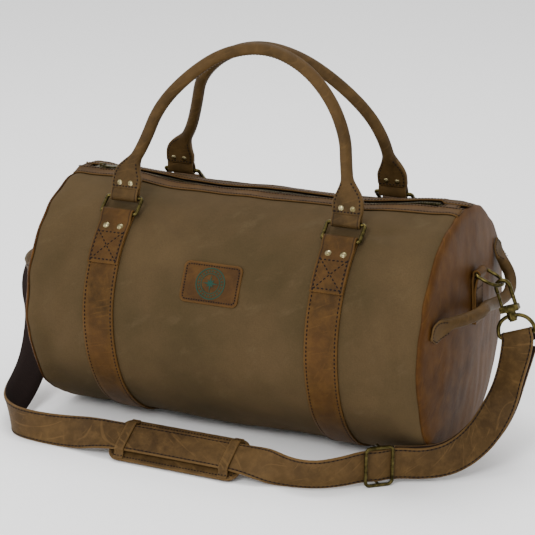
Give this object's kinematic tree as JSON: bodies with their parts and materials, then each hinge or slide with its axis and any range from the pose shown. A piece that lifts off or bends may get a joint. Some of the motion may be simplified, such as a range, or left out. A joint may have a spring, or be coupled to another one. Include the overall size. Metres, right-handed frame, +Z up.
{
  "type": "duffel bag",
  "caption": "Round weekender duffel bag in waxed canvas with leather ends, straps and rolled handles, a top zip, ring fittings and a clip-on shoulder strap with a pad.",
  "frame": {"origin": "on the floor under the middle of the bag", "axes": "+X along the barrel towards its right end, -Y the front with the patch, +Z up"},
  "size_m": [0.6449, 0.343, 0.4448],
  "materials": {
    "waxed_canvas": "waxed cotton canvas, matt with faint rub marks",
    "lining_cloth": "plain woven lining",
    "board": "stiff base board",
    "end_leather": "distressed oiled leather with pale scratches",
    "facing_leather": "oiled leather strip",
    "zip_tape": "dark herringbone zip tape",
    "zip_metal": "antique brass",
    "strap_leather": "distressed oiled leather with raw edges",
    "rivet_metal": "rubbed antique brass",
    "hardware_brass": "antique brass, dark in the recesses",
    "handle_leather": "rolled oiled leather",
    "cord_core": "twisted cotton cord",
    "patch_leather": "embossed leather patch",
    "emblem_ink": "dark green print",
    "belt_leather": "oiled leather, dark flesh side, stitched edges"
  },
  "bodies": {
    "bag": {"canvas_body": "waxed_canvas", "lining": "lining_cloth", "base_board": "board", "end_panel_right": "end_leather", "end_panel_left": "end_leather", "zip_facing_front": "facing_leather", "zip_facing_back": "facing_leather", "zip_end_tab_left": "facing_leather", "zip_end_tab_right": "facing_leather", "zip_tape_front": "zip_tape", "zip_tape_back": "zip_tape", "zip_teeth_front": "zip_metal", "zip_teeth_back": "zip_metal", "zip_stops": "zip_metal", "strap_left": "strap_leather", "strap_right": "strap_leather", "ring_tab_right": "strap_leather", "ring_tab_left": "strap_leather", "strap_rivets_left": "rivet_metal", "strap_rivets_right": "rivet_metal", "end_handle_right": "handle_leather", "end_handle_left": "handle_leather", "patch": "patch_leather", "patch_emblem": "emblem_ink", "shoulder_strap": "belt_leather", "strap_return": "belt_leather"},
    "slider": {"zip_slider": "zip_metal"},
    "pull": {"zip_pull": "zip_metal"},
    "pad": {"shoulder_pad": "belt_leather"},
    "buckle": {"buckle_frame": "hardware_brass", "buckle_bar": "hardware_brass"},
    "front_left_ring": {"front_ring_left": "hardware_brass"},
    "front_right_ring": {"front_ring_right": "hardware_brass"},
    "front_handle": {"front_handle": "handle_leather", "front_handle_core": "cord_core", "front_handle_rivets": "rivet_metal"},
    "back_left_ring": {"back_ring_left": "hardware_brass"},
    "back_right_ring": {"back_ring_right": "hardware_brass"},
    "back_handle": {"back_handle": "handle_leather", "back_handle_core": "cord_core", "back_handle_rivets": "rivet_metal"},
    "d_ring_right": {"d_ring_right": "hardware_brass"},
    "hook_right": {"hook_right": "hardware_brass", "hook_gate_pin_right": "hardware_brass"},
    "gate_right": {"hook_gate_right": "hardware_brass"},
    "loop_right": {"swivel_loop_right": "hardware_brass"},
    "d_ring_left": {"d_ring_left": "hardware_brass"},
    "hook_left": {"hook_left": "hardware_brass", "hook_gate_pin_left": "hardware_brass"},
    "gate_left": {"hook_gate_left": "hardware_brass"},
    "loop_left": {"swivel_loop_left": "hardware_brass"}
  },
  "joints": [
    {"name": "zip_slide", "type": "slide", "parent": "bag", "child": "slider", "axis": [1, 0, 0], "range_m": [0, 0.4]},
    {"name": "pull_swing", "type": "hinge", "parent": "slider", "child": "pull", "pos_m": [-0.2095, 0, 0.2793], "axis": [0, 1, 0], "range_deg": [-172, 0]},
    {"name": "front_left_ring_flip", "type": "hinge", "parent": "bag", "child": "front_left_ring", "pos_m": [-0.142, -0.08771, 0.25139], "axis": [1, 0, 0], "range_deg": [0, 80]},
    {"name": "front_right_ring_flip", "type": "hinge", "parent": "bag", "child": "front_right_ring", "pos_m": [0.126, -0.08771, 0.25139], "axis": [1, 0, 0], "range_deg": [0, 80]},
    {"name": "front_handle_fold", "type": "hinge", "parent": "front_left_ring", "child": "front_handle", "pos_m": [-0.142, -0.07086, 0.26553], "axis": [1, 0, 0], "range_deg": [-4, 75]},
    {"name": "back_left_ring_flip", "type": "hinge", "parent": "bag", "child": "back_left_ring", "pos_m": [-0.142, 0.08771, 0.25139], "axis": [-1, 0, 0], "range_deg": [0, 80]},
    {"name": "back_right_ring_flip", "type": "hinge", "parent": "bag", "child": "back_right_ring", "pos_m": [0.126, 0.08771, 0.25139], "axis": [-1, 0, 0], "range_deg": [0, 80]},
    {"name": "back_handle_fold", "type": "hinge", "parent": "back_left_ring", "child": "back_handle", "pos_m": [-0.142, 0.07086, 0.26553], "axis": [-1, 0, 0], "range_deg": [-4, 75]},
    {"name": "d_ring_swing_right", "type": "hinge", "parent": "bag", "child": "d_ring_right", "pos_m": [0.254, 0, 0.208], "axis": [0, 1, 0], "range_deg": [-12, 5], "deforming": ["shoulder_strap", "strap_return"]},
    {"name": "hook_swing_right", "type": "hinge", "parent": "d_ring_right", "child": "hook_right", "pos_m": [0.27966, 0, 0.19679], "axis": [0, 1, 0], "range_deg": [-6, 6], "deforming": ["shoulder_strap", "strap_return"]},
    {"name": "gate_press_right", "type": "hinge", "parent": "hook_right", "child": "gate_right", "pos_m": [0.28138, 0, 0.16868], "axis": [0, 1, 0], "range_deg": [0, 28], "stiffness_Nm_per_rad": 0.02, "springref_deg": -20.05},
    {"name": "swivel_turn_right", "type": "hinge", "parent": "hook_right", "child": "loop_right", "pos_m": [0.27966, 0, 0.19679], "axis": [0.342, 0, -0.9397], "range_deg": [-20, 20], "deforming": ["shoulder_strap", "strap_return"]},
    {"name": "d_ring_swing_left", "type": "hinge", "parent": "bag", "child": "d_ring_left", "pos_m": [-0.254, 0, 0.208], "axis": [0, -1, 0], "range_deg": [-12, 5], "deforming": ["shoulder_strap", "strap_return"]},
    {"name": "hook_swing_left", "type": "hinge", "parent": "d_ring_left", "child": "hook_left", "pos_m": [-0.27966, 0, 0.19679], "axis": [0, -1, 0], "range_deg": [-6, 6], "deforming": ["shoulder_strap", "strap_return"]},
    {"name": "gate_press_left", "type": "hinge", "parent": "hook_left", "child": "gate_left", "pos_m": [-0.28138, 0, 0.16868], "axis": [0, -1, 0], "range_deg": [0, 28], "stiffness_Nm_per_rad": 0.02, "springref_deg": -20.05},
    {"name": "swivel_turn_left", "type": "hinge", "parent": "hook_left", "child": "loop_left", "pos_m": [-0.27966, 0, 0.19679], "axis": [-0.342, 0, -0.9397], "range_deg": [-20, 20], "deforming": ["shoulder_strap", "strap_return"]},
    {"name": "pad_slide", "type": "slide", "parent": "bag", "child": "pad", "axis": [0.9997, -0.0247, 0], "range_m": [-0.012, 0.012], "deforming": ["shoulder_strap", "strap_return"]},
    {"name": "buckle_slide", "type": "slide", "parent": "bag", "child": "buckle", "axis": [0.7532, 0.6578, 0], "range_m": [-0.008, 0.008], "deforming": ["shoulder_strap", "strap_return"]}
  ],
  "couplings": [
    {"joint": "front_right_ring_flip", "follows": "front_left_ring_flip", "ratio": 1},
    {"joint": "back_right_ring_flip", "follows": "back_left_ring_flip", "ratio": 1}
  ]
}
